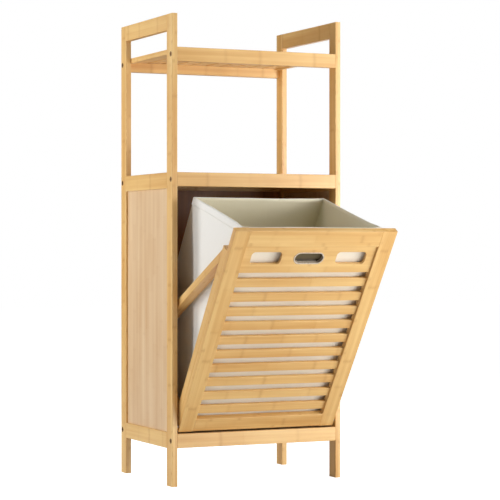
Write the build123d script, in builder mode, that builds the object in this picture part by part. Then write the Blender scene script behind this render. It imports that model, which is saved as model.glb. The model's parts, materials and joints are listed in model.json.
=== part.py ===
"""Bamboo laundry cabinet: a slatted top shelf, a middle shelf and a tilt-out louvred door with a cloth bag.

Millimetres, +Z up. The door opens toward -Y, and is modelled open, resting on its stop pegs. The origin
is on the floor, in the middle of the width and of the length from the open door's top edge to the back.
"""

import os
from math import cos, radians, sin, tan

from build123d import *

# ---------------------------------------------------------------- driving sizes
width = 440.0
depth = 328.0
height = 1100.0

# bamboo stock
post_width = 13.5
post_depth = 33.5
cross_rail_height = 33.0
cross_rail_depth = 18.0
side_rail_height = 37.5
edge_round = 1.2
groove_depth = 5.5
groove_play = 0.2
panel_play = 0.4

# heights of the rails
top_shelf_height = 1022.0
middle_shelf_height = 731.0
bottom_rail_middle = 106.0

# top shelf
shelf_slat_count = 10
shelf_slat_width = 33.0
shelf_slat_gap = 6.2
shelf_slat_thickness = 9.0
shelf_slat_step_down = 1.0
shelf_edge_width = 11.5
shelf_edge_height = 12.0

# boards and panels
shelf_board_thickness = 8.0
shelf_board_step_down = 2.0
bottom_board_thickness = 6.0
bottom_rabbet = 8.0
side_panel_thickness = 5.0
side_panel_recess = 4.5
back_panel_thickness = 4.0
back_panel_recess = 8.0

# door
door_side_gap = 5.0
door_top_gap = 4.0
door_bottom_gap = 6.5
door_thickness = 15.0
door_open_angle = 34.7
stile_width = 37.0
door_top_rail_height = 41.0
door_bottom_rail_height = 35.6
louvre_count = 10
louvre_height = 22.7
bottom_louvre_gap = 13.3
louvre_thickness = 7.0
louvre_recess = 5.0
pivot_height = 10.0

# handle panel
handle_panel_height = 73.7
handle_slot_pitch = 106.0
handle_slot_width = 75.0
handle_slot_height = 33.0
handle_slot_corner = 9.0
handle_slot_rise = 2.5
cup_length = 72.0
cup_height = 28.0
cup_wall = 1.0
cup_lip = 1.8
cup_lip_proud = 0.8
cup_back_gap = 0.5

# hamper cradle behind the door
cradle_depth = 300.0
cradle_width = 25.0
upright_depth = 22.0
upright_top = 503.0
brace_height = 17.5
brace_angle = 30.5
brace_step_down = 11.0
arm_height = 36.0
arm_drop = 6.0
base_thickness = 8.0
base_rise = 8.0

# laundry bag
bag_side_gap = 5.0
bag_end_gap = 1.0
bag_wall = 2.5
bag_clearance = 0.5
bag_back_drop = 105.0
bag_rim_step_down = 2.0

# hardware
bolt_shank = 6.0
bolt_length = 50.0
bolt_head = 12.0
bolt_head_depth = 3.2
bolt_hex = 4.0
bolt_hex_depth = 2.2
pin_diameter = 6.0
pin_in_post = 9.0
pin_in_stile = 20.0
pin_clearance = 0.08
peg_diameter = 8.0
peg_in_brace = 14.0
peg_proud = 8.5
peg_stop_clearance = 0.4

# ---------------------------------------------------------------- positions worked out from the sizes
half_width = width / 2
inner_half_width = half_width - post_width

top_rail_base = top_shelf_height - cross_rail_height
middle_rail_base = middle_shelf_height - cross_rail_height
bottom_rail_base = bottom_rail_middle - cross_rail_height / 2
bottom_rail_top = bottom_rail_base + cross_rail_height
middle_side_base = middle_shelf_height - side_rail_height
bottom_side_base = bottom_rail_middle - side_rail_height / 2
bottom_side_top = bottom_side_base + side_rail_height

slat_top = top_shelf_height - shelf_slat_step_down
slat_base = slat_top - shelf_slat_thickness
board_top = middle_shelf_height - shelf_board_step_down
board_base = board_top - shelf_board_thickness

# the door's own measures: up from its bottom edge, and back from its front face
door_half_width = inner_half_width - door_side_gap
door_bottom = bottom_rail_top + door_bottom_gap
door_length = middle_rail_base - door_top_gap - door_bottom
door_opening_half_width = door_half_width - stile_width
pivot_setback = door_thickness / 2
pivot_z = door_bottom + pivot_height
handle_panel_top = door_length - door_top_rail_height
handle_panel_base = handle_panel_top - handle_panel_height
first_louvre_base = door_bottom_rail_height + bottom_louvre_gap
louvre_pitch = (handle_panel_base - first_louvre_base) / louvre_count
louvre_back = louvre_recess + louvre_thickness
handle_middle = (handle_panel_base + handle_panel_top) / 2 + handle_slot_rise

cradle_outer = door_half_width
cradle_inner = cradle_outer - cradle_width
arm_base = -arm_drop
arm_top = arm_base + arm_height
upright_back = door_thickness + upright_depth
base_bottom = base_rise - arm_drop
base_top = base_bottom + base_thickness

bag_half_width = cradle_inner - bag_side_gap
bag_front = door_thickness + bag_clearance
bag_back = cradle_depth - bag_end_gap
bag_bottom = base_top + bag_clearance
bag_front_top = door_length - bag_rim_step_down
bag_back_top = bag_front_top - bag_back_drop

# the cabinet stands so that Y = 0 halves the length from the open door's top edge to the back face
tilt_sin = sin(radians(door_open_angle))
tilt_cos = cos(radians(door_open_angle))
pivot_to_bottom_edge = pivot_height * tilt_sin - pivot_setback * tilt_cos
door_reach = door_length * tilt_sin - pivot_setback - pivot_to_bottom_edge
front_face = (door_reach - depth) / 2
back_face = front_face + depth
inner_front = front_face + post_depth
inner_back = back_face - post_depth
rail_inner_front = front_face + cross_rail_depth
rail_inner_back = back_face - cross_rail_depth
pivot_y = front_face + pivot_setback

tongue = groove_depth - panel_play
panel_outer = half_width - side_panel_recess
panel_inner = panel_outer - side_panel_thickness
back_panel_rear = back_face - back_panel_recess
back_panel_front = back_panel_rear - back_panel_thickness

# the door's plane: its X is the width, its Y runs up the door, its Z comes out of the front face
door_origin = (
    0.0,
    pivot_y + pivot_to_bottom_edge,
    pivot_z - pivot_height * tilt_cos - pivot_setback * tilt_sin,
)
door_plane = Plane(origin=door_origin, x_dir=(1, 0, 0), z_dir=(0, -tilt_cos, -tilt_sin))

os.makedirs("parts", exist_ok=True)


# ---------------------------------------------------------------- helpers
def save(part, name):
    """Label a finished piece and write its STEP file."""
    part.label = name
    export_step(part, f"parts/{name}.step")


def side_plane(x):
    """Plane across the door at width x: its X runs back from the front face, its Y up the door."""
    return Plane(
        origin=(x, door_origin[1], door_origin[2]),
        x_dir=(0, tilt_cos, tilt_sin),
        z_dir=(1, 0, 0),
    )


def block(x0, x1, y0, y1, z0, z1, mode=Mode.ADD):
    """A box in the open BuildPart, between two corners."""
    with Locations(((x0 + x1) / 2, (y0 + y1) / 2, (z0 + z1) / 2)):
        Box(x1 - x0, y1 - y0, z1 - z0, mode=mode)


def door_block(x0, x1, up0, up1, back0, back1, mode=Mode.ADD):
    """A box in the open BuildPart, in the door's own measures."""
    with Locations(door_plane):
        with Locations(((x0 + x1) / 2, (up0 + up1) / 2, -(back0 + back1) / 2)):
            Box(x1 - x0, up1 - up0, back1 - back0, mode=mode)


def mirrored(part):
    """The same piece on the other side of the cabinet."""
    return mirror(part, about=Plane.YZ)


def save_pair(part, name):
    """Write a piece made on the right side, and its mirror on the left."""
    save(part, f"right_{name}")
    save(mirrored(part), f"left_{name}")


# ---------------------------------------------------------------- side frames
bolt_heights = (
    top_rail_base + cross_rail_height / 2,
    middle_rail_base + cross_rail_height / 2,
    bottom_rail_middle,
)
bolt_setback = cross_rail_depth / 2


def post(y0, y1, groove_y0, groove_y1, bolt_y):
    """A right post: its side panel's groove, and countersunk holes for its three frame bolts."""
    with BuildPart() as piece:
        block(inner_half_width, half_width, y0, y1, 0, height)
        fillet(piece.edges().filter_by(Axis.Z), edge_round)
        fillet(piece.faces().sort_by(Axis.Z)[-1].edges(), edge_round / 2)
        block(
            panel_inner, panel_outer, groove_y0, groove_y1,
            bottom_side_top - groove_depth, middle_side_base + groove_depth,
            mode=Mode.SUBTRACT,
        )
        for bolt_z in bolt_heights:
            with BuildSketch(Plane.YZ.offset(half_width)):
                with Locations((bolt_y, bolt_z)):
                    Circle(bolt_shank / 2)
            extrude(amount=-post_width, mode=Mode.SUBTRACT)
            with BuildSketch(Plane.YZ.offset(half_width)):
                with Locations((bolt_y, bolt_z)):
                    Circle(bolt_head / 2)
            with BuildSketch(Plane.YZ.offset(half_width - bolt_head_depth)):
                with Locations((bolt_y, bolt_z)):
                    Circle(bolt_shank / 2)
            loft(mode=Mode.SUBTRACT)
    return piece.part


with BuildPart() as front_post:
    add(post(front_face, inner_front, inner_front - groove_depth, inner_front, front_face + bolt_setback))
    with BuildSketch(Plane.YZ.offset(inner_half_width)):
        with Locations((pivot_y, pivot_z)):
            Circle(pin_diameter / 2)
    extrude(amount=pin_in_post, mode=Mode.SUBTRACT)
save_pair(front_post.part, "front_post")

with BuildPart() as back_post:
    add(post(inner_back, back_face, inner_back, inner_back + groove_depth, back_face - bolt_setback))
    block(
        inner_half_width, inner_half_width + groove_depth, back_panel_front, back_panel_rear,
        bottom_rail_top - groove_depth, middle_rail_base + groove_depth,
        mode=Mode.SUBTRACT,
    )
save_pair(back_post.part, "back_post")


def side_rail(z0, groove_z0=None, groove_z1=None):
    """A right side rail between the two posts, with the side panel's groove where one is given."""
    with BuildPart() as piece:
        block(inner_half_width, half_width, inner_front, inner_back, z0, z0 + side_rail_height)
        fillet(piece.edges().filter_by(Axis.Y), edge_round)
        if groove_z0 is not None:
            block(panel_inner, panel_outer, inner_front, inner_back, groove_z0, groove_z1, mode=Mode.SUBTRACT)
    return piece.part


save_pair(side_rail(height - side_rail_height), "handle_rail")
save_pair(
    side_rail(middle_side_base, middle_side_base, middle_side_base + groove_depth),
    "shelf_side_rail",
)
save_pair(
    side_rail(bottom_side_base, bottom_side_top - groove_depth, bottom_side_top),
    "bottom_side_rail",
)

with BuildPart() as side_panel:
    block(
        panel_inner + groove_play / 2, panel_outer - groove_play / 2,
        inner_front - tongue, inner_back + tongue,
        bottom_side_top - tongue, middle_side_base + tongue,
    )
save_pair(side_panel.part, "side_panel")


# ---------------------------------------------------------------- front and back rails
def cross_rail(y0, z0):
    """A rail between the left and right posts, with a pilot hole in each end for its bolt."""
    with BuildPart() as piece:
        block(-inner_half_width, inner_half_width, y0, y0 + cross_rail_depth, z0, z0 + cross_rail_height)
        fillet(piece.edges().filter_by(Axis.X), edge_round)
        for side in (-1, 1):
            with BuildSketch(Plane.YZ.offset(side * inner_half_width)):
                with Locations((y0 + cross_rail_depth / 2, z0 + cross_rail_height / 2)):
                    Circle(bolt_shank / 2)
            extrude(amount=-side * (bolt_length - post_width), mode=Mode.SUBTRACT)
    return piece.part


back_rail_y = back_face - cross_rail_depth


def grooved_pair(name, z0, groove_z0, groove_z1, groove_reach, panel_z0=None):
    """A front and a back rail whose facing sides take a shelf's ends, and the back panel where it has one."""
    with BuildPart() as front_rail:
        add(cross_rail(front_face, z0))
        block(
            -inner_half_width, inner_half_width, rail_inner_front - groove_reach, rail_inner_front,
            groove_z0, groove_z1,
            mode=Mode.SUBTRACT,
        )
    save(front_rail.part, f"{name}_front_rail")
    with BuildPart() as back_rail:
        add(cross_rail(back_rail_y, z0))
        block(
            -inner_half_width, inner_half_width, rail_inner_back, rail_inner_back + groove_reach,
            groove_z0, groove_z1,
            mode=Mode.SUBTRACT,
        )
        if panel_z0 is not None:
            block(
                -inner_half_width, inner_half_width, back_panel_front, back_panel_rear,
                panel_z0, panel_z0 + groove_depth,
                mode=Mode.SUBTRACT,
            )
    save(back_rail.part, f"{name}_back_rail")


grooved_pair(
    "top_shelf", top_rail_base,
    slat_base - groove_play / 2, slat_top + groove_play / 2, groove_depth,
)
grooved_pair(
    "middle_shelf", middle_rail_base,
    board_base - groove_play / 2, board_top + groove_play / 2, groove_depth,
    panel_z0=middle_rail_base,
)
grooved_pair(
    "bottom", bottom_rail_base,
    bottom_rail_top - bottom_board_thickness, bottom_rail_top, bottom_rabbet,
    panel_z0=bottom_rail_top - groove_depth,
)

# ---------------------------------------------------------------- shelves and panels
shelf_end_front = rail_inner_front - groove_depth + panel_play
shelf_end_back = rail_inner_back + groove_depth - panel_play
slat_pitch = shelf_slat_width + shelf_slat_gap

for number in range(shelf_slat_count):
    slat_x = (number - (shelf_slat_count - 1) / 2) * slat_pitch
    with BuildPart() as shelf_slat:
        block(
            slat_x - shelf_slat_width / 2, slat_x + shelf_slat_width / 2,
            shelf_end_front, shelf_end_back, slat_base, slat_top,
        )
        fillet(shelf_slat.edges().filter_by(Axis.Y), edge_round)
    save(shelf_slat.part, f"top_shelf_slat_{number + 1:02d}")

with BuildPart() as shelf_edge:
    block(
        inner_half_width - shelf_edge_width, inner_half_width,
        rail_inner_front, rail_inner_back, slat_top - shelf_edge_height, slat_top,
    )
    fillet(shelf_edge.edges().filter_by(Axis.Y), edge_round / 2)
save_pair(shelf_edge.part, "top_shelf_edge")

with BuildPart() as middle_board:
    block(
        -inner_half_width, inner_half_width, shelf_end_front, shelf_end_back,
        board_base, board_top,
    )
save(middle_board.part, "middle_shelf_board")

with BuildPart() as bottom_board:
    block(
        -inner_half_width, inner_half_width,
        rail_inner_front - bottom_rabbet + panel_play, rail_inner_back + bottom_rabbet - panel_play,
        bottom_rail_top - bottom_board_thickness, bottom_rail_top,
    )
    block(
        -inner_half_width, inner_half_width, back_panel_front - panel_play, back_face,
        bottom_rail_top - bottom_board_thickness, bottom_rail_top,
        mode=Mode.SUBTRACT,
    )
save(bottom_board.part, "bottom_board")

with BuildPart() as back_panel:
    block(
        -inner_half_width - tongue, inner_half_width + tongue,
        back_panel_front + groove_play / 2, back_panel_rear - groove_play / 2,
        bottom_rail_top - tongue, middle_rail_base + tongue,
    )
save(back_panel.part, "back_panel")

# ---------------------------------------------------------------- frame bolts and pivot pins
with BuildPart() as bolt_profile:
    with BuildSketch(Plane.XZ) as half_section:
        with BuildLine():
            Polyline(
                (0, 0),
                (bolt_head / 2, 0),
                (bolt_shank / 2, -bolt_head_depth),
                (bolt_shank / 2, -bolt_length + bolt_shank / 3),
                (bolt_shank / 6, -bolt_length),
                (0, -bolt_length),
                close=True,
            )
        make_face()
    revolve(axis=Axis.Z)
    with BuildSketch(Plane.XY):
        RegularPolygon(radius=bolt_hex / 2, side_count=6, major_radius=False)
    extrude(amount=-bolt_hex_depth, mode=Mode.SUBTRACT)

with BuildPart() as frame_bolts:
    for side in (-1, 1):
        for bolt_y in (front_face + bolt_setback, back_face - bolt_setback):
            for bolt_z in bolt_heights:
                seat = Plane(origin=(side * half_width, bolt_y, bolt_z), x_dir=(0, 1, 0), z_dir=(side, 0, 0))
                add(seat.from_local_coords(bolt_profile.part))
save(frame_bolts.part, "frame_bolts")

with BuildPart() as pivot_pins:
    with BuildSketch(Plane.YZ.offset(door_half_width - pin_in_stile)):
        with Locations((pivot_y, pivot_z)):
            Circle(pin_diameter / 2)
    extrude(amount=pin_in_stile + door_side_gap + pin_in_post)
    mirror(about=Plane.YZ)
save(pivot_pins.part, "pivot_pins")

# ---------------------------------------------------------------- door frame and louvres
louvre_bases = [
    first_louvre_base + (louvre_count - 1 - number) * louvre_pitch for number in range(louvre_count)
]
slot_front = louvre_recess - groove_play / 2
slot_back = louvre_back + groove_play / 2

with BuildPart() as stile:
    door_block(door_opening_half_width, door_half_width, 0, door_length, 0, door_thickness)
    fillet(stile.edges().filter_by(lambda edge: abs(edge.length - door_length) < 0.01), edge_round)
    mortises = [(base, base + louvre_height) for base in louvre_bases]
    mortises.append((handle_panel_base, handle_panel_top + tongue))
    for mortise_base, mortise_top in mortises:
        door_block(
            door_opening_half_width, door_opening_half_width + groove_depth,
            mortise_base, mortise_top, slot_front, slot_back, mode=Mode.SUBTRACT,
        )
    with BuildSketch(side_plane(door_half_width)):
        with Locations((pivot_setback, pivot_height)):
            Circle(pin_diameter / 2 + pin_clearance)
    extrude(amount=-pin_in_stile - pin_clearance, mode=Mode.SUBTRACT)
save_pair(stile.part, "door_stile")

with BuildPart() as door_top_rail:
    door_block(
        -door_opening_half_width, door_opening_half_width, handle_panel_top, door_length, 0, door_thickness,
    )
    fillet(door_top_rail.edges().filter_by(Axis.X), edge_round)
    door_block(
        -door_opening_half_width, door_opening_half_width, handle_panel_top, handle_panel_top + groove_depth,
        slot_front, slot_back, mode=Mode.SUBTRACT,
    )
save(door_top_rail.part, "door_top_rail")

with BuildPart() as door_bottom_rail:
    door_block(
        -door_opening_half_width, door_opening_half_width, 0, door_bottom_rail_height, 0, door_thickness,
    )
    fillet(door_bottom_rail.edges().filter_by(Axis.X), edge_round)
save(door_bottom_rail.part, "door_bottom_rail")

louvre_half_length = door_opening_half_width + tongue
for number, louvre_base in enumerate(louvre_bases, start=1):
    with BuildPart() as louvre:
        door_block(
            -louvre_half_length, louvre_half_length, louvre_base, louvre_base + louvre_height,
            louvre_recess, louvre_back,
        )
        fillet(louvre.edges().filter_by(Axis.X), edge_round)
    save(louvre.part, f"door_slat_{number:02d}")

# ---------------------------------------------------------------- handle panel and its finger cup
with BuildPart() as handle_panel:
    door_block(
        -louvre_half_length, louvre_half_length, handle_panel_base, handle_panel_top + tongue,
        louvre_recess, louvre_back,
    )
    with BuildSketch(door_plane.offset(-louvre_recess)):
        for slot_x in (-handle_slot_pitch, handle_slot_pitch):
            with Locations((slot_x, handle_middle)):
                RectangleRounded(handle_slot_width, handle_slot_height, handle_slot_corner)
        with Locations((0, handle_middle)):
            SlotOverall(cup_length, cup_height)
    extrude(amount=-louvre_thickness, mode=Mode.SUBTRACT)
save(handle_panel.part, "handle_panel")

cup_floor = door_thickness - cup_back_gap
with BuildPart() as finger_cup:
    with BuildSketch(door_plane.offset(-louvre_recess)):
        with Locations((0, handle_middle)):
            SlotOverall(cup_length, cup_height)
    extrude(amount=louvre_recess - cup_floor)
    with BuildSketch(door_plane.offset(-louvre_recess)):
        with Locations((0, handle_middle)):
            SlotOverall(cup_length + 2 * cup_lip, cup_height + 2 * cup_lip)
    extrude(amount=cup_lip_proud)
    with BuildSketch(door_plane.offset(cup_lip_proud - louvre_recess)):
        with Locations((0, handle_middle)):
            SlotOverall(cup_length - 2 * cup_wall, cup_height - 2 * cup_wall)
    extrude(amount=-(cup_floor - louvre_recess + cup_lip_proud - cup_wall), mode=Mode.SUBTRACT)
save(finger_cup.part, "finger_cup")

# ---------------------------------------------------------------- cradle behind the door
brace_slope = tan(radians(brace_angle))
brace_run = brace_height / sin(radians(brace_angle))
brace_top = upright_top - brace_step_down
brace_reach = (brace_top - arm_top) * brace_slope
brace_foot_back = min(upright_back + brace_reach, cradle_depth)
brace_foot_top = brace_top - (brace_foot_back - upright_back) / brace_slope

with BuildPart() as upright:
    door_block(cradle_inner, cradle_outer, arm_top, upright_top, door_thickness, upright_back)
    fillet(upright.edges().filter_by(lambda edge: edge.length > upright_top / 2), edge_round)
save_pair(upright.part, "cradle_upright")

with BuildPart() as brace:
    with BuildSketch(side_plane(cradle_inner)):
        with BuildLine():
            Polyline(
                (upright_back, brace_top),
                (brace_foot_back, brace_foot_top),
                (brace_foot_back, arm_top),
                (upright_back + (brace_top - brace_run - arm_top) * brace_slope, arm_top),
                (upright_back, brace_top - brace_run),
                close=True,
            )
        make_face()
    extrude(amount=cradle_width)
    fillet(brace.edges().filter_by(lambda edge: edge.length > upright_top / 2), edge_round)
    # the stop peg's seat: with the door open the peg lies against the back of the front post
    peg_y = inner_front + peg_diameter / 2 + peg_stop_clearance
    middle_top = brace_top - brace_run / 2
    level_y = door_origin[1] - middle_top * tilt_sin + upright_back * tilt_cos
    peg_along = (peg_y - level_y) / (tilt_cos + tilt_sin / brace_slope)
    peg_back = upright_back + peg_along
    peg_up = middle_top - peg_along / brace_slope
    with BuildSketch(side_plane(cradle_outer)):
        with Locations((peg_back, peg_up)):
            Circle(peg_diameter / 2)
    extrude(amount=-peg_in_brace, mode=Mode.SUBTRACT)
save_pair(brace.part, "diagonal_brace")

with BuildPart() as stop_pegs:
    with BuildSketch(side_plane(cradle_outer - peg_in_brace)):
        with Locations((peg_back, peg_up)):
            Circle(peg_diameter / 2)
    extrude(amount=peg_in_brace + peg_proud)
    mirror(about=Plane.YZ)
save(stop_pegs.part, "stop_pegs")

with BuildPart() as arm:
    door_block(cradle_inner, cradle_outer, arm_base, arm_top, door_thickness, cradle_depth)
    fillet(arm.edges().filter_by(lambda edge: edge.length > cradle_depth / 2), edge_round)
save_pair(arm.part, "cradle_arm")

with BuildPart() as cradle_base:
    door_block(-cradle_inner, cradle_inner, base_bottom, base_top, door_thickness, cradle_depth)
    fillet(cradle_base.edges().filter_by(Axis.X), edge_round)
save(cradle_base.part, "cradle_base")

# ---------------------------------------------------------------- laundry bag
rim_slope = (bag_back_top - bag_front_top) / (bag_back - bag_front)


def bag_outline(inset, floor, overshoot):
    """Corners of the bag's side view: upright front and back walls and a rim that falls to the back."""
    front = bag_front + inset
    back = bag_back - inset
    return [
        (front, floor),
        (back, floor),
        (back, bag_front_top + (back - bag_front) * rim_slope + overshoot),
        (front, bag_front_top + (front - bag_front) * rim_slope + overshoot),
    ]


with BuildPart() as laundry_bag:
    with BuildSketch(side_plane(-bag_half_width)):
        with BuildLine():
            Polyline(*bag_outline(0, bag_bottom, 0), close=True)
        make_face()
    extrude(amount=2 * bag_half_width)
    with BuildSketch(side_plane(-bag_half_width + bag_wall)):
        with BuildLine():
            Polyline(*bag_outline(bag_wall, bag_bottom + bag_wall, bag_wall), close=True)
        make_face()
    extrude(amount=2 * (bag_half_width - bag_wall), mode=Mode.SUBTRACT)
save(laundry_bag.part, "laundry_bag")
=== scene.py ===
"""Bamboo laundry cabinet with a tilt-out hamper: finishes, cloth bag, floor, light and camera."""
import json
import math

import bpy
from mathutils import Euler, Matrix, Vector, noise


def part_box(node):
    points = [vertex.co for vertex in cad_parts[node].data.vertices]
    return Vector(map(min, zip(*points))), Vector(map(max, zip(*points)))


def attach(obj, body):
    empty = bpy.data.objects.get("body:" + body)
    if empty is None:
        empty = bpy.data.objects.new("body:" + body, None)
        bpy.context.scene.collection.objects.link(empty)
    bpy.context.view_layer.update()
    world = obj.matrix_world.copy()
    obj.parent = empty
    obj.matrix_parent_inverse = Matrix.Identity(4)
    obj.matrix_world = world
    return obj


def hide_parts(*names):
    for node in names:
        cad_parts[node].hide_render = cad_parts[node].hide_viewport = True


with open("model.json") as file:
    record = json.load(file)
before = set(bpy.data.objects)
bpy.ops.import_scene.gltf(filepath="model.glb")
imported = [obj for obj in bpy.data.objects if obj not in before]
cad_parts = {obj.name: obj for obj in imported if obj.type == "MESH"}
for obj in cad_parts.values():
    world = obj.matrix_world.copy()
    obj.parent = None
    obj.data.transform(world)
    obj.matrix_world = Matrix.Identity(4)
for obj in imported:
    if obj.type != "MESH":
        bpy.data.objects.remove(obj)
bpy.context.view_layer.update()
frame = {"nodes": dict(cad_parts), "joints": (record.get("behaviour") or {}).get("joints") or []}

# ------------------------------------------------------------------ the open door's own directions
hinge = frame["joints"][0]
TILT = math.radians(hinge["range_deg"][1])
PIVOT_RISE, PIVOT_SETBACK = 0.010, 0.0075
ACROSS = Vector((1, 0, 0))
UP_DOOR = Vector((0, -math.sin(TILT), math.cos(TILT)))
BACK = Vector((0, math.cos(TILT), math.sin(TILT)))
DOOR_FOOT = Vector(hinge["pos_m"]) - UP_DOOR * PIVOT_RISE - BACK * PIVOT_SETBACK
BRACE_ANGLE = math.radians(30.5)


def on_door(x, up, back):
    """A point given in the door's measures: across, up its front face and back from it."""
    return DOOR_FOOT + ACROSS * x + UP_DOOR * up + BACK * back


# ------------------------------------------------------------------ node helpers
def colour(red, green, blue):
    """A linear colour with alpha from 0-255 display values."""
    def linear(value):
        share = value / 255
        return share / 12.92 if share <= 0.04045 else ((share + 0.055) / 1.055) ** 2.4
    return (linear(red), linear(green), linear(blue), 1.0)


def put(tree, kind, *inputs, **settings):
    """Add a node; each input is a value, another node's socket, or None to leave it alone."""
    made = tree.nodes.new("ShaderNode" + kind)
    for name, value in settings.items():
        setattr(made, name, value)
    for socket, value in zip(made.inputs, inputs):
        if isinstance(value, bpy.types.NodeSocket):
            tree.links.new(value, socket)
        elif value is not None:
            socket.default_value = value
    return made


def sums(tree, operation, *inputs, clamp=False):
    """The result of a Math node."""
    return put(tree, "Math", *inputs, operation=operation, use_clamp=clamp).outputs[0]


def between(tree, value, low, high, out_low=0.0, out_high=1.0):
    """A smooth step of value from low to high."""
    step = put(tree, "MapRange", value, low, high, out_low, out_high, interpolation_type="SMOOTHSTEP")
    return step.outputs[0]


def mixed(tree, share, first, second, blend="MIX"):
    """Two colours mixed by share."""
    made = put(tree, "Mix", data_type="RGBA", blend_type=blend, clamp_factor=True)
    for name, value in (("Factor_Float", share), ("A_Color", first), ("B_Color", second)):
        socket = next(s for s in made.inputs if s.identifier == name)
        if isinstance(value, bpy.types.NodeSocket):
            tree.links.new(value, socket)
        else:
            socket.default_value = value
    return next(s for s in made.outputs if s.identifier == "Result_Color")


def noise_at(tree, place, scale, detail=2.0, rough=0.5):
    """Noise from 0 to 1 at a place."""
    made = put(tree, "TexNoise", place)
    made.inputs["Scale"].default_value = scale
    made.inputs["Detail"].default_value = detail
    made.inputs["Roughness"].default_value = rough
    return made.outputs[0]


def stretched(tree, place, along, across, through):
    """A place multiplied on each axis."""
    return put(tree, "VectorMath", place, (along, across, through), operation="MULTIPLY").outputs[0]


def surface(name, roughness, metallic=0.0, specular=0.5):
    """A material with one Principled shader: its tree, the shader and the material."""
    made = bpy.data.materials.new(name)
    made.use_nodes = True
    tree = made.node_tree
    shader = tree.nodes["Principled BSDF"]
    shader.inputs["Roughness"].default_value = roughness
    shader.inputs["Metallic"].default_value = metallic
    shader.inputs["Specular IOR Level"].default_value = specular
    return tree, shader, made


def raised(tree, shader, height, distance, strength=1.0):
    """Bump from a height socket, in metres of depth."""
    bump = put(tree, "Bump")
    bump.inputs["Strength"].default_value = strength
    bump.inputs["Distance"].default_value = distance
    tree.links.new(height, bump.inputs["Height"])
    tree.links.new(bump.outputs[0], shader.inputs["Normal"])


def keep(name, mesh):
    """A piece of the object from a finished mesh."""
    piece = bpy.data.objects.new(name, mesh)
    bpy.context.scene.collection.objects.link(piece)
    return piece


# ------------------------------------------------------------------ bamboo
LAYER = 0.0062
NODE_SPACING = 0.105

# a culm node's line and halo: where each starts to fade and where it ends, and how strongly it shows
LINE_FADE, HALO_FADE = (0.0006, 0.0050), (0.002, 0.010)
LINE_SHADE, HALO_SHADE = 0.15, 0.12
LINE_WANDER, WANDER_SCALE = 0.005, 90.0

# the fibres' marks: scale along and across the grain, detail, roughness
GRAIN = {
    "bands": (1.3, 130.0, 3.0, 0.55),
    "threads": (9.0, 950.0, 2.0, 0.6),
    "bundles": (42.0, 1500.0, 1.0, 0.5),
    "clouds": (5.0, 22.0, 2.0, 0.5),
    "streaks": (2.4, 62.0, 1.0, 0.4),
}
BUNDLE_EDGES, BUNDLE_SHADE = (0.56, 0.76), 0.10
STRIP_CONTRAST, DEEP_SHARE = 0.30, 0.42

# the satin varnish and the relief under it
SATIN, THREAD_ROUGHNESS, LINE_ROUGHNESS = 0.34, 0.16, 0.12
GRAIN_DEPTH, GRAIN_STRENGTH = 0.00012, 0.5
WOOD_SHINE, VARNISH, VARNISH_ROUGHNESS = 0.42, 0.5, 0.32


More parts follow.
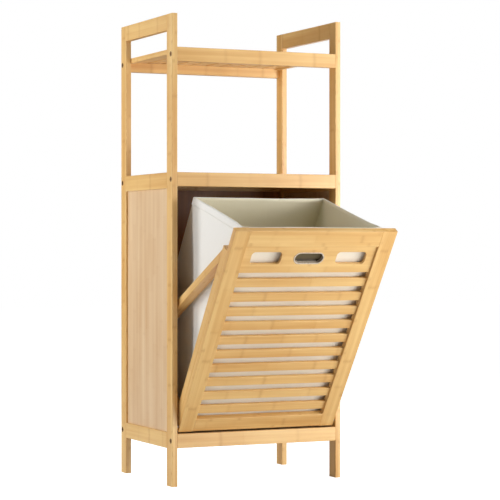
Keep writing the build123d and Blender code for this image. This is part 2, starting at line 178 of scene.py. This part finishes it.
def bamboo_group():
    """Laminated bamboo in its own grain: strips, culm nodes, fibres and dark bundles."""
    tree = bpy.data.node_groups.new("laminated_bamboo", "ShaderNodeTree")
    for label, kind in (
        ("Place", "NodeSocketVector"), ("Seed", "NodeSocketFloat"), ("Strip", "NodeSocketFloat"),
        ("Pale", "NodeSocketColor"), ("Deep", "NodeSocketColor"), ("Joint", "NodeSocketColor"),
        ("Joints", "NodeSocketFloat"),
    ):
        tree.interface.new_socket(label, in_out="INPUT", socket_type=kind)
    for label, kind in (
        ("Colour", "NodeSocketColor"), ("Roughness", "NodeSocketFloat"), ("Height", "NodeSocketFloat"),
    ):
        tree.interface.new_socket(label, in_out="OUTPUT", socket_type=kind)
    given = tree.nodes.new("NodeGroupInput").outputs
    place, seed = given["Place"], given["Seed"]
    parts = put(tree, "SeparateXYZ", place).outputs

    # strips across the width, layers through the thickness
    strip_count = sums(tree, "ADD", sums(tree, "DIVIDE", parts[1], given["Strip"]), 0.5)
    strip = sums(tree, "FLOOR", strip_count)
    layer = sums(tree, "FLOOR", sums(tree, "DIVIDE", parts[2], LAYER))
    cell = put(tree, "CombineXYZ", strip, layer, seed).outputs[0]
    lot = put(tree, "TexWhiteNoise", cell, noise_dimensions="3D").outputs
    tone, shift = lot[0], put(tree, "SeparateColor", lot[1]).outputs[1]

    # culm nodes: a thin dark line with a warm halo, at uneven steps along each strip
    shifted = sums(tree, "ADD", parts[0], sums(tree, "MULTIPLY", shift, 1.7))
    along = sums(tree, "DIVIDE", shifted, NODE_SPACING)
    step = sums(tree, "FLOOR", along)
    spot = put(tree, "CombineXYZ", strip, layer, sums(tree, "ADD", step, sums(tree, "MULTIPLY", seed, 7.3)))
    chance = put(tree, "TexWhiteNoise", spot.outputs[0], noise_dimensions="3D").outputs
    jitter = sums(tree, "MULTIPLY_ADD", chance[0], 0.6, 0.2)
    wander = noise_at(tree, stretched(tree, place, 0.0, 1.0, 1.0), WANDER_SCALE)
    offset = sums(tree, "MULTIPLY", sums(tree, "SUBTRACT", sums(tree, "FRACT", along), jitter), NODE_SPACING)
    offset = sums(tree, "MULTIPLY_ADD", sums(tree, "SUBTRACT", wander, 0.5), LINE_WANDER, offset)
    distance = sums(tree, "ABSOLUTE", offset)
    stretch = sums(tree, "ADD", step, sums(tree, "GREATER_THAN", offset, 0.0))
    span = put(tree, "CombineXYZ", stretch, strip, sums(tree, "MULTIPLY_ADD", layer, 5.1, seed)).outputs[0]
    lengthwise = put(tree, "TexWhiteNoise", span, noise_dimensions="3D").outputs[0]
    strength = put(tree, "SeparateColor", chance[1]).outputs[2]
    strength = sums(tree, "MULTIPLY", between(tree, strength, 0.1, 0.9, 0.15, 1.0), given["Joints"])
    line = sums(tree, "MULTIPLY", between(tree, distance, *LINE_FADE, 1.0, 0.0), strength)
    halo = sums(tree, "MULTIPLY", between(tree, distance, *HALO_FADE, 1.0, 0.0), strength)

    # fibres: broad bands, fine threads, short dark bundles, clouds and streaks, all along the grain
    moved = put(tree, "VectorMath", place, put(tree, "CombineXYZ", seed, seed, seed).outputs[0]).outputs[0]

    def marks(kind):
        run, width, detail, rough = GRAIN[kind]
        return noise_at(tree, stretched(tree, moved, run, width, width), 1.0, detail, rough)

    bands = marks("bands")
    threads = marks("threads")
    bundles = between(tree, marks("bundles"), *BUNDLE_EDGES)
    clouds = marks("clouds")
    streaks = marks("streaks")

    # from pale to deep: the strip's own tone, then each mark by its weight
    share = sums(tree, "MULTIPLY_ADD", sums(tree, "SUBTRACT", tone, 0.5), STRIP_CONTRAST, DEEP_SHARE)
    for spread, weight in ((bands, 1.0), (clouds, 0.9), (threads, 0.45), (streaks, 0.9), (lengthwise, 0.2)):
        share = sums(tree, "MULTIPLY_ADD", sums(tree, "SUBTRACT", spread, 0.5), weight, share)
    share = sums(tree, "MULTIPLY_ADD", bundles, BUNDLE_SHADE, share, clamp=True)
    wood = mixed(tree, share, given["Pale"], given["Deep"])
    wood = mixed(tree, sums(tree, "MULTIPLY", halo, HALO_SHADE), wood, given["Joint"])
    wood = mixed(tree, sums(tree, "MULTIPLY", line, LINE_SHADE), wood, given["Joint"])

    rough = sums(tree, "MULTIPLY_ADD", threads, THREAD_ROUGHNESS, SATIN)
    rough = sums(tree, "MULTIPLY_ADD", line, LINE_ROUGHNESS, rough)
    height = sums(tree, "MULTIPLY_ADD", bundles, -0.5, threads)
    height = sums(tree, "MULTIPLY_ADD", line, 0.8, height)
    shown = tree.nodes.new("NodeGroupOutput").inputs
    tree.links.new(wood, shown["Colour"])
    tree.links.new(rough, shown["Roughness"])
    tree.links.new(height, shown["Height"])
    return tree


BAMBOO = bamboo_group()

# pale tone, deep tone and the tone of the culm nodes
HONEY = (colour(240, 199, 129), colour(213, 156, 80), colour(178, 110, 42))
TAN = (colour(234, 204, 164), colour(214, 174, 128), colour(190, 140, 92))
# the back panel's darker tones are painted shade for the dark inside of the cabinet
UMBER_PAINTED_SHADE = (colour(176, 116, 58), colour(138, 84, 36), colour(108, 60, 24))


def bamboo(name, centre, along, across, seed, strip, tones=HONEY, joints=1.0):
    """Satin bamboo for one piece: its grain runs along one direction, its strips lie across another."""
    tree, shader, made = surface(name, SATIN, specular=WOOD_SHINE)
    along, across = along.normalized(), across.normalized()
    turned = Matrix((along, across, along.cross(across))).transposed().to_euler()
    where = put(tree, "TexCoord").outputs["Object"]
    place = put(tree, "Mapping", where, centre, turned, vector_type="TEXTURE")
    stock = put(tree, "Group", node_tree=BAMBOO)
    tree.links.new(place.outputs[0], stock.inputs["Place"])
    for label, value in (
        ("Seed", seed), ("Strip", strip), ("Pale", tones[0]), ("Deep", tones[1]), ("Joint", tones[2]),
        ("Joints", joints),
    ):
        stock.inputs[label].default_value = value
    tree.links.new(stock.outputs["Colour"], shader.inputs["Base Color"])
    tree.links.new(stock.outputs["Roughness"], shader.inputs["Roughness"])
    raised(tree, shader, stock.outputs["Height"], GRAIN_DEPTH, GRAIN_STRENGTH)
    shader.inputs["Coat Weight"].default_value = VARNISH
    shader.inputs["Coat Roughness"].default_value = VARNISH_ROUGHNESS
    return made


UPRIGHT, DEPTHWISE = Vector((0, 0, 1)), Vector((0, 1, 0))
BRACE_ALONG = BACK * math.sin(BRACE_ANGLE) - UP_DOOR * math.cos(BRACE_ANGLE)
BRACE_ACROSS = BACK * math.cos(BRACE_ANGLE) + UP_DOOR * math.sin(BRACE_ANGLE)
ONE_STRIP, NARROW_STRIP, PLY_STRIP = 0.045, 0.0205, 0.0215
FAINT_JOINTS = 0.3
SEED_STEP = 3.17

# what each family of pieces is cut from: the way its grain runs, the way its strips lie, strip width, tones
# and, where they are faint, how strongly its culm nodes show; a piece takes the first row that fits its name
STOCK = (
    ("_post", UPRIGHT, DEPTHWISE, NARROW_STRIP, HONEY),
    ("handle_rail", DEPTHWISE, UPRIGHT, ONE_STRIP, HONEY),
    ("side_rail", DEPTHWISE, UPRIGHT, ONE_STRIP, HONEY),
    ("side_panel", UPRIGHT, DEPTHWISE, PLY_STRIP, TAN, FAINT_JOINTS),
    ("back_panel", UPRIGHT, ACROSS, PLY_STRIP, UMBER_PAINTED_SHADE, FAINT_JOINTS),
    ("bottom_board", ACROSS, DEPTHWISE, PLY_STRIP, TAN),
    ("shelf_board", ACROSS, DEPTHWISE, NARROW_STRIP, HONEY),
    ("shelf_slat", DEPTHWISE, ACROSS, ONE_STRIP, HONEY),
    ("shelf_edge", DEPTHWISE, ACROSS, ONE_STRIP, HONEY),
    ("door_stile", UP_DOOR, ACROSS, NARROW_STRIP, HONEY),
    ("cradle_upright", UP_DOOR, BACK, NARROW_STRIP, HONEY),
    ("door_slat", ACROSS, UP_DOOR, ONE_STRIP, HONEY),
    ("handle_panel", ACROSS, UP_DOOR, ONE_STRIP, HONEY),
    ("door_top_rail", ACROSS, UP_DOOR, NARROW_STRIP, HONEY),
    ("door_bottom_rail", ACROSS, UP_DOOR, NARROW_STRIP, HONEY),
    ("cradle_arm", BACK, UP_DOOR, NARROW_STRIP, HONEY),
    ("cradle_base", ACROSS, BACK, NARROW_STRIP, HONEY),
    ("brace", BRACE_ALONG, BRACE_ACROSS, ONE_STRIP, HONEY),
    ("stop_pegs", ACROSS, UP_DOOR, ONE_STRIP, TAN),
    ("_rail", ACROSS, UPRIGHT, ONE_STRIP, HONEY),
)


def finish_bamboo():
    """Every wooden piece gets its own cut of bamboo, laid in its own direction."""
    for number, (name, piece) in enumerate(sorted(frame["nodes"].items())):
        family = next((row for row in STOCK if row[0] in name), None)
        if family is None:
            continue
        low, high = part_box(name)
        made = bamboo("bamboo_" + name, (low + high) / 2, *family[1:3], SEED_STEP * number, *family[3:])
        wear(piece, made)


def wear(piece, made):
    """Give a CAD piece one material in every slot."""
    if not piece.material_slots:
        piece.data.materials.append(made)
    for slot in piece.material_slots:
        slot.material = made


# ------------------------------------------------------------------ metal
MARK_DETAIL, MARK_EDGES, MARK_SHADE = 4.0, (0.35, 0.7), 0.7
MARK_ROUGHNESS, MARK_DEPTH, MARK_STRENGTH = 0.18, 0.00004, 0.4


def steel(name, tint, roughness, grain, metallic=1.0):
    """Plated steel with faint handling marks."""
    tree, shader, made = surface(name, roughness, metallic=metallic)
    place = put(tree, "TexCoord").outputs["Object"]
    marks = noise_at(tree, place, grain, MARK_DETAIL, 0.6)
    dark = tuple(share * MARK_SHADE for share in tint[:3]) + (1.0,)
    tree.links.new(mixed(tree, between(tree, marks, *MARK_EDGES), tint, dark), shader.inputs["Base Color"])
    rough = sums(tree, "MULTIPLY_ADD", marks, MARK_ROUGHNESS, roughness - MARK_ROUGHNESS / 2)
    tree.links.new(rough, shader.inputs["Roughness"])
    raised(tree, shader, marks, MARK_DEPTH, MARK_STRENGTH)
    return made


def finish_metal():
    """Bronze bolts, bright pins and the chromed finger cup, tinted warm cream as a painted reflection of the
    wood, with a dark pad of painted shade.
    """
    wear(frame["nodes"]["frame_bolts"], steel("bolt_bronze", colour(150, 112, 74), 0.45, 900.0, 0.8))
    wear(frame["nodes"]["pivot_pins"], steel("pin_zinc", colour(190, 190, 186), 0.3, 700.0))
    # the cup's warm cream tint is a painted reflection of the wood round it
    wear(frame["nodes"]["finger_cup"], steel("cup_chrome", colour(246, 228, 204), 0.2, 260.0, 0.5))
    pad = cup_pad()
    pad.data.materials.append(pad_painted_shade())
    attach(pad, "door")


CUP_RISE = 0.48965
PAD_HALF_LENGTH, PAD_HALF_HEIGHT = 0.0348, 0.0128
PAD_FACE, PAD_BACK = 0.0130, 0.0134
PAD_END_STEPS = 16
# the pad's painted shadow fades from black to olive between these heights above its lower edge
PAD_SHADE_FROM, PAD_SHADE_TO = 0.002, 0.010


def cup_pad():
    """A dark plate on the finger cup's floor that stands for the shade inside the cup: a thin plate with
    round ends.
    """
    straight = PAD_HALF_LENGTH - PAD_HALF_HEIGHT
    rim = []
    for side, start in ((1, -90), (-1, 90)):
        for k in range(PAD_END_STEPS + 1):
            angle = math.radians(start + 180 * k / PAD_END_STEPS)
            across = side * straight + PAD_HALF_HEIGHT * math.cos(angle)
            rim.append((across, PAD_HALF_HEIGHT * math.sin(angle)))
    count = len(rim)
    vertices = [on_door(x, CUP_RISE + up, back) for back in (PAD_FACE, PAD_BACK) for x, up in rim]
    faces = [tuple(range(count)), tuple(reversed(range(count, 2 * count)))]
    faces += [(k, k + count, (k + 1) % count + count, (k + 1) % count) for k in range(count)]
    mesh = bpy.data.meshes.new("cup_pad")
    mesh.from_pydata([tuple(v) for v in vertices], [], faces)
    return keep("cup_pad", mesh)


def pad_painted_shade():
    """Painted shade for the inside of the finger cup: dark olive, deepening to black as a painted shadow
    toward the pad's lower edge.
    """
    tree, shader, made = surface("pad_painted_shade", 0.3)
    place = put(tree, "TexCoord").outputs["Object"]
    aim = put(tree, "VectorMath", place, tuple(UP_DOOR), operation="DOT_PRODUCT").outputs["Value"]
    foot = on_door(0, CUP_RISE - PAD_HALF_HEIGHT, 0).dot(UP_DOOR)
    # painted shadow: black at the pad's lower edge, olive higher up
    painted_shade_lift = between(tree, aim, foot + PAD_SHADE_FROM, foot + PAD_SHADE_TO)
    cloudy = noise_at(tree, place, 120.0, 3.0)
    tone = mixed(tree, painted_shade_lift, colour(8, 6, 3), colour(84, 74, 46))
    tone = mixed(tree, sums(tree, "MULTIPLY", cloudy, 0.3), tone, colour(104, 84, 56))
    tree.links.new(tone, shader.inputs["Base Color"])
    tree.links.new(sums(tree, "MULTIPLY_ADD", cloudy, 0.1, 0.25), shader.inputs["Roughness"])
    return made


# ------------------------------------------------------------------ laundry bag
BAG_HALF_WIDTH, BAG_FRONT, BAG_BACK = 0.1715, 0.0155, 0.299
BAG_FLOOR, BAG_FRONT_RIM, BAG_BACK_RIM = 0.0105, 0.563, 0.458
CLOTH, HEM_CLOTH = 0.0020, 0.0010
CLOTH_INSET, HEM_INSET = 0.0016, 0.0004
FRONT_CORNER, BACK_CORNER = 0.004, 0.003
SLOPE_WIDTH, SLOPE_DEPTH, SLOPE_REACH, SLOPE_CURVE = 0.036, 0.010, 0.05, 1.6
SIDE_BULGE = 0.0040
WALL_BOW, RIM_LEAN, RIPPLE, PUCKER = 0.0026, 0.0022, 0.0026, 0.0008
FOOT_EASE = 0.03
BAG_ROWS, HEM_ROWS = 52, 4
# material slot of the front wall's painted-shade copy of the canvas
FRONT_SHADE_SLOT = 2
HEM_HEIGHT, STITCH_DROP = 0.020, 0.0165
STITCH_PITCH, STITCH_LENGTH, STITCH_THICKNESS = 0.0042, 0.0029, 0.0006
STITCH_SIDES, STITCH_SEED = 6, 7
OUTWARD_SQUARENESS = 9
WEAVE_PITCH = 0.0011


def rim_height(back):
    """How far up the door the bag's rim is, at a distance back from the door."""
    share = (back - BAG_FRONT) / (BAG_BACK - BAG_FRONT)
    return BAG_FRONT_RIM + (BAG_BACK_RIM - BAG_FRONT_RIM) * share


def bag_ring(inset, walls=(26, 22), corner_cells=6):
    """One turn round the bag from its front right corner.

    Each point is (across, back, inward across, inward back, slack).
    """
    half = BAG_HALF_WIDTH - inset
    front, back = BAG_FRONT + inset, BAG_BACK - inset
    near, far = FRONT_CORNER, BACK_CORNER
    corners = (
        (half - near, front + near, near, -90), (half - far, back - far, far, 0),
        (far - half, back - far, far, 90), (near - half, front + near, near, 180),
    )

    def on_arc(corner, turn):
        x, y, radius, start = corners[corner % 4]
        angle = math.radians(start + turn)
        return x + radius * math.cos(angle), y + radius * math.sin(angle)

    def sloped(x, y):
        """The front wall falls back toward its sides, where the bag fills out to the uprights."""
        aside = max(0.0, (abs(x) - half + SLOPE_WIDTH) / SLOPE_WIDTH)
        near_door = max(0.0, 1 - (y - front) / SLOPE_REACH)
        bulge = SIDE_BULGE * min(1.0, 2 * near_door) * aside
        return x + math.copysign(bulge, x), y + SLOPE_DEPTH * aside ** SLOPE_CURVE * near_door

    ring = []
    for corner in range(4):
        ring += [(*on_arc(corner, 90 * k / corner_cells), 0.0, 0.0, 0.0) for k in range(corner_cells + 1)]
        start, end = on_arc(corner, 90), on_arc(corner + 1, 0)
        inward = math.radians(corners[corner][3] + 270)
        cells = walls[corner % 2]
        for k in range(1, cells):
            share = k / cells
            x, y = (a + (b - a) * share for a, b in zip(start, end))
            ring.append((x, y, math.cos(inward), math.sin(inward), math.sin(math.pi * share)))
    return [(*sloped(x, y), *rest) for x, y, *rest in ring]


def sag(x, up, back, loose):
    """How far the cloth leans in from its flat pattern at a place."""
    share = min(1.0, up / rim_height(back))
    bow = WALL_BOW * math.sin(math.pi * share) + RIM_LEAN * share ** 6
    ripple = RIPPLE * noise.noise(Vector((x * 7, back * 7, up * 4)))
    pucker = PUCKER * noise.noise(Vector((x * 22 + 5, back * 22, up * 13)))
    return loose * (bow + ripple + pucker)


def cloth_point(ring_point, up):
    """A point of the cloth's outer face, at a height up the door."""
    x, back, in_x, in_back, loose = ring_point
    lean = sag(x, up, back, loose) * min(1.0, (up - BAG_FLOOR) / FOOT_EASE)
    return on_door(x + in_x * lean, up, back + in_back * lean)


def cloth_mesh(name, ring, rows, bottom, closed=False):
    """A strip of cloth round the bag up to its rim, with a cloth map in metres; closed adds a floor."""
    count = len(ring)
    run = [0.0]
    for a, b in zip(ring, ring[1:] + ring[:1]):
        run.append(run[-1] + math.dist(a[:2], b[:2]))
    vertices, heights, faces, cloth_map = [], [], [], []
    for row in range(rows + 1):
        for point in ring:
            low, high = bottom(point[1]), rim_height(point[1])
            up = low + (high - low) * row / rows
            heights.append(up)
            vertices.append(cloth_point(point, up))
    for row in range(rows):
        for k in range(count):
            a, b = row * count + k, row * count + (k + 1) % count
            faces.append((a, b, b + count, a + count))
            cloth_map += [
                (run[k], heights[a]), (run[k + 1], heights[b]),
                (run[k + 1], heights[b + count]), (run[k], heights[a + count]),
            ]
    if closed:
        vertices.append(on_door(0, BAG_FLOOR + CLOTH_INSET, (BAG_FRONT + BAG_BACK) / 2))
        for k in range(count):
            faces.append(((k + 1) % count, k, len(vertices) - 1))
            cloth_map += [ring[(k + 1) % count][:2], ring[k][:2], (0.0, (BAG_FRONT + BAG_BACK) / 2)]
    mesh = bpy.data.meshes.new(name)
    mesh.from_pydata([tuple(v) for v in vertices], [], faces)
    layer = mesh.uv_layers.new(name="cloth")
    for loop, place in enumerate(cloth_map):
        layer.data[loop].uv = place
    for face in mesh.polygons:
        face.use_smooth = True
        out = face.center - DOOR_FOOT
        # the front wall's faces take the painted-shade copy of the canvas
        if out.dot(BACK) < BAG_FRONT + SLOPE_DEPTH and out.dot(UP_DOOR) > BAG_FLOOR + 0.003:
            face.material_index = FRONT_SHADE_SLOT
    return mesh


def thicken(piece, thickness, shaded_inside=0):
    """Give a skin its thickness, inward from the face it was laid out on."""
    wall = piece.modifiers.new("wall", "SOLIDIFY")
    wall.thickness, wall.offset, wall.material_offset = thickness, -1.0, shaded_inside


def canvas(name, pale, shade):
    """Plain-weave cotton canvas: crossed threads, slubs and soft unevenness."""
    tree, shader, made = surface(name, 0.86, specular=0.2)
    run = put(tree, "UVMap", uv_map="cloth").outputs[0]
    parts = put(tree, "SeparateXYZ", run).outputs
    turn = 2 * math.pi / WEAVE_PITCH
    warp = sums(tree, "SINE", sums(tree, "MULTIPLY", parts[0], turn))
    weft = sums(tree, "SINE", sums(tree, "MULTIPLY", parts[1], turn))
    weave = sums(tree, "MULTIPLY_ADD", sums(tree, "MULTIPLY", warp, weft), 0.5, 0.5)
    slubs = noise_at(tree, stretched(tree, run, 30.0, 700.0, 1.0), 1.0, 2.0)
    cross = noise_at(tree, stretched(tree, run, 700.0, 30.0, 1.0), 1.0, 2.0)
    clouds = noise_at(tree, run, 9.0, 3.0)
    uneven = sums(tree, "MULTIPLY", sums(tree, "ADD", slubs, cross), 0.3)
    share = sums(tree, "MULTIPLY_ADD", weave, 0.35, uneven)
    share = sums(tree, "MULTIPLY_ADD", sums(tree, "SUBTRACT", clouds, 0.5), 0.5, share, clamp=True)
    tree.links.new(mixed(tree, share, shade, pale), shader.inputs["Base Color"])
    raised(tree, shader, sums(tree, "ADD", weave, sums(tree, "MULTIPLY", slubs, 0.6)), 0.0003, 0.5)
    shader.inputs["Sheen Weight"].default_value = 0.15
    shader.inputs["Sheen Roughness"].default_value = 0.5
    return made


def stitch_mesh():
    """One stitch: a short thread that dips into the cloth at both ends."""
    half, thick = STITCH_LENGTH / 2, STITCH_THICKNESS / 2
    rings = ((-half, 0.35, -0.5), (-half * 0.6, 1.0, 0.0), (half * 0.6, 1.0, 0.0), (half, 0.35, -0.5))
    sides = STITCH_SIDES
    vertices, faces = [], []
    for along, swell, dip in rings:
        for k in range(sides):
            angle = 2 * math.pi * k / sides
            vertices.append((along, thick * swell * math.cos(angle), thick * (swell * math.sin(angle) + dip)))
    for row in range(len(rings) - 1):
        for k in range(sides):
            a, b = row * sides + k, row * sides + (k + 1) % sides
            faces.append((a, a + sides, b + sides, b))
    faces.append(tuple(range(sides)))
    faces.append(tuple(reversed(range((len(rings) - 1) * sides, len(rings) * sides))))
    mesh = bpy.data.meshes.new("stitch")
    mesh.from_pydata(vertices, [], faces)
    for face in mesh.polygons:
        face.use_smooth = True
    return mesh


def stitching_tree(stitch, thread):
    """Geometry nodes: set the stitch at even steps along a line, turned to its run and outward."""
    tree = bpy.data.node_groups.new("stitching", "GeometryNodeTree")
    tree.interface.new_socket("Line", in_out="INPUT", socket_type="NodeSocketGeometry")
    tree.interface.new_socket("Pitch", in_out="INPUT", socket_type="NodeSocketFloat")
    tree.interface.new_socket("Seed", in_out="INPUT", socket_type="NodeSocketInt")
    tree.interface.new_socket("Stitches", in_out="OUTPUT", socket_type="NodeSocketGeometry")

    def add(kind, settings=(), **links):
        made = tree.nodes.new(kind)
        for label, value in settings:
            setattr(made, label, value)
        for label, value in links.items():
            socket = next(s for s in made.inputs if s.enabled and s.name == label)
            if isinstance(value, bpy.types.NodeSocket):
                tree.links.new(value, socket)
            else:
                socket.default_value = value
        return made

    given = add("NodeGroupInput").outputs
    curve = add("GeometryNodeMeshToCurve", Mesh=given["Line"]).outputs[0]
    even = add("GeometryNodeResampleCurve", [("mode", "LENGTH")], Curve=curve, Length=given["Pitch"])
    outward = add("GeometryNodeInputNamedAttribute", [("data_type", "FLOAT_VECTOR")], Name="outward")
    along = add("GeometryNodeInputTangent").outputs[0]
    faced = add("FunctionNodeAlignRotationToVector", [("axis", "X")], Vector=along)
    turned = add(
        "FunctionNodeAlignRotationToVector", [("axis", "Z"), ("pivot_axis", "X")],
        Rotation=faced.outputs[0], Vector=outward.outputs[0],
    )
    uneven = add("FunctionNodeRandomValue", Min=0.9, Max=1.08, Seed=given["Seed"])
    single = add("GeometryNodeObjectInfo", Object=stitch)
    set_out = add(
        "GeometryNodeInstanceOnPoints", Points=even.outputs[0], Instance=single.outputs["Geometry"],
        Rotation=turned.outputs[0], Scale=uneven.outputs[1],
    )
    solid = add("GeometryNodeRealizeInstances", Geometry=set_out.outputs[0])
    coloured = add("GeometryNodeSetMaterial", Geometry=solid.outputs[0], Material=thread)
    shown = tree.nodes.new("NodeGroupOutput")
    tree.links.new(coloured.outputs[0], shown.inputs["Stitches"])
    return tree


def finish_bag():
    """The bag, hem and stitching, riding on the door in place of its CAD shell; the cloth's inside and its
    front wall take warmer copies of the canvas as painted shade.
    """
    cloth = canvas("bag_canvas", colour(248, 247, 243), colour(236, 233, 226))
    # a yellower copy of the canvas for the inside walls: painted shade, the olive-beige the cloth takes in
    # the bag's shade
    shaded_inside = canvas("bag_inside_painted_shade", colour(248, 242, 218), colour(236, 228, 202))
    foot = BAG_FLOOR + CLOTH_INSET
    skin = cloth_mesh("hamper_bag", bag_ring(CLOTH_INSET), BAG_ROWS, lambda back: foot, closed=True)
    bag = keep("hamper_bag", skin)
    # a warmer copy of the canvas for the front wall and the hem's front: painted shade, the warm shade on the
    # cloth behind the louvres
    front = canvas("bag_front_painted_shade", colour(251, 244, 229), colour(242, 232, 214))
    for made in (cloth, shaded_inside, front, shaded_inside):
        bag.data.materials.append(made)
    thicken(bag, CLOTH, shaded_inside=1)
    fold = cloth_mesh("bag_hem", bag_ring(HEM_INSET), HEM_ROWS, lambda back: rim_height(back) - HEM_HEIGHT)
    hem = keep("bag_hem", fold)
    for made in (cloth, cloth, front):
        hem.data.materials.append(made)
    thicken(hem, HEM_CLOTH)
    seam = stitched_line()
    for piece in (bag, hem, seam):
        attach(piece, "door")
    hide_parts("laundry_bag")


def stitched_line():
    """A row of stitches round the hem, laid out and then made solid."""
    thread = canvas("bag_thread", colour(250, 248, 240), colour(232, 228, 216))
    stitch = keep("stitch", stitch_mesh())
    ring = bag_ring(HEM_INSET)
    points = [cloth_point(point, rim_height(point[1]) - STITCH_DROP) for point in ring]
    line = bpy.data.meshes.new("hem_line")
    edges = [(k, (k + 1) % len(points)) for k in range(len(points))]
    line.from_pydata([tuple(p) for p in points], edges, [])
    facing = line.attributes.new("outward", "FLOAT_VECTOR", "POINT")
    for k, (x, back, *_) in enumerate(ring):
        sideways = max(-1, min(1, x / BAG_HALF_WIDTH)) ** OUTWARD_SQUARENESS
        backward = (2 * (back - BAG_FRONT) / (BAG_BACK - BAG_FRONT) - 1) ** OUTWARD_SQUARENESS
        facing.data[k].vector = (ACROSS * sideways + BACK * backward).normalized()
    row = keep("hem_line", line)
    layer = row.modifiers.new("stitching", "NODES")
    layer.node_group = stitching_tree(stitch, thread)
    items = layer.node_group.interface.items_tree
    sockets = {item.name: item.identifier for item in items if item.in_out == "INPUT"}
    layer[sockets["Pitch"]] = STITCH_PITCH
    layer[sockets["Seed"]] = STITCH_SEED
    shaped = row.evaluated_get(bpy.context.evaluated_depsgraph_get())
    baked = bpy.data.meshes.new_from_object(shaped)
    seam = keep("hem_stitches", baked)
    for scrap in (row, stitch):
        bpy.data.objects.remove(scrap)
    return seam


# ------------------------------------------------------------------ floor, light and camera
FLOOR_HALF, FLOOR_DROP = 12.0, 0.0004
FLOOR_SHOWN, FLOOR_GLOW = 1.0, 0.11
ROOM_SHOWN, ROOM_GLOW = 1.0, 0.01
MIDDLE = Vector((0, 0, 0.6))
CAMERA_PLACE, CAMERA_TURN, CAMERA_DIP = (-1.8992, -4.0442, 0.5590), 24.947, 0.119
LENS, SENSOR, NEAREST, FARTHEST = 135.72, 36.0, 0.1, 60.0


def floor():
    """A plain pale floor that looks white to the camera and gives off a little light of its own."""
    mesh = bpy.data.meshes.new("studio_floor")
    corners = [(x * FLOOR_HALF, y * FLOOR_HALF, -FLOOR_DROP) for x, y in ((-1, -1), (1, -1), (1, 1), (-1, 1))]
    mesh.from_pydata(corners, [], [(0, 1, 2, 3)])
    tree, shader, made = surface("studio_floor", 0.9, specular=0.0)
    place = put(tree, "TexCoord").outputs["Object"]
    drift = noise_at(tree, place, 0.7)
    tone = mixed(tree, drift, colour(190, 190, 190), colour(186, 186, 186))
    tree.links.new(tone, shader.inputs["Base Color"])
    shader.inputs["Emission Color"].default_value = (1.0, 1.0, 1.0, 1.0)
    seen = put(tree, "LightPath").outputs["Is Camera Ray"]
    glow = sums(tree, "MULTIPLY_ADD", seen, FLOOR_SHOWN - FLOOR_GLOW, FLOOR_GLOW)
    tree.links.new(glow, shader.inputs["Emission Strength"])
    mesh.materials.append(made)
    keep("studio_floor", mesh)


def lamp(name, place, aim, size, power):
    """A soft white rectangular light that the camera doesn't see."""
    data = bpy.data.lights.new(name, "AREA")
    data.shape, data.size, data.size_y = "RECTANGLE", *size
    data.energy = power
    made = bpy.data.objects.new(name, data)
    made.location = place
    made.rotation_euler = (Vector(aim) - Vector(place)).to_track_quat("-Z", "Y").to_euler()
    made.visible_camera = False
    bpy.context.scene.collection.objects.link(made)


def studio():
    """Soft lights right, low in front, left, behind and above, in a room that the camera sees white."""
    # each light's heading from the cabinet's middle, its distance, its size and its power in watts
    for name, heading, reach, size, power in (
        ("high_right", (0.7, -1.0, 0.9), 2.2, (1.0, 1.0), 10.0),
        ("low_right", (0.8, -0.8, 0.02), 1.9, (0.9, 0.6), 15.3),
        ("near_right", (0.9, -0.75, 0.35), 1.15, (0.5, 1.0), 3.4),
        ("low_front", (0.5, -1.0, -0.2), 2.0, (0.9, 0.5), 11.0),
        ("foot_front", (-0.2, -1.0, -0.28), 1.6, (0.9, 0.3), 1.4),
        ("left_side", (-1.0, 0.02, 0.05), 1.8, (0.3, 1.4), 11.5),
        ("left_back", (-1.0, 0.6, 0.3), 1.9, (0.7, 1.2), 17.0),
        ("right_back", (1.0, 0.6, 0.3), 1.9, (0.8, 1.2), 7.6),
        ("far_back", (0.7, 1.0, 0.5), 2.1, (1.0, 1.4), 8.8),
        ("overhead", (0.0, -0.15, 1.0), 2.1, (1.5, 1.5), 11.0),
    ):
        lamp(name, MIDDLE + Vector(heading).normalized() * reach, MIDDLE, size, power)
    world = bpy.data.worlds.new("white_room")
    world.use_nodes = True
    tree = world.node_tree
    tree.nodes["Background"].inputs[0].default_value = (1.0, 1.0, 1.0, 1.0)
    seen = put(tree, "LightPath").outputs["Is Camera Ray"]
    glow = sums(tree, "MULTIPLY_ADD", seen, ROOM_SHOWN - ROOM_GLOW, ROOM_GLOW)
    tree.links.new(glow, tree.nodes["Background"].inputs[1])
    bpy.context.scene.world = world
    bpy.context.scene.view_settings.view_transform = "Standard"


def camera():
    """A long lens about half way up, in front of the cabinet and to its left."""
    data = bpy.data.cameras.new("camera")
    data.lens, data.sensor_width = LENS, SENSOR
    made = bpy.data.objects.new("camera", data)
    made.location = CAMERA_PLACE
    turn, dip = math.radians(CAMERA_TURN), math.radians(CAMERA_DIP)
    made.rotation_euler = Euler((math.pi / 2 - dip, 0.0, -turn))
    data.clip_start, data.clip_end = NEAREST, FARTHEST
    bpy.context.scene.collection.objects.link(made)
    bpy.context.scene.camera = made


finish_bamboo()
finish_metal()
finish_bag()
floor()
studio()
camera()
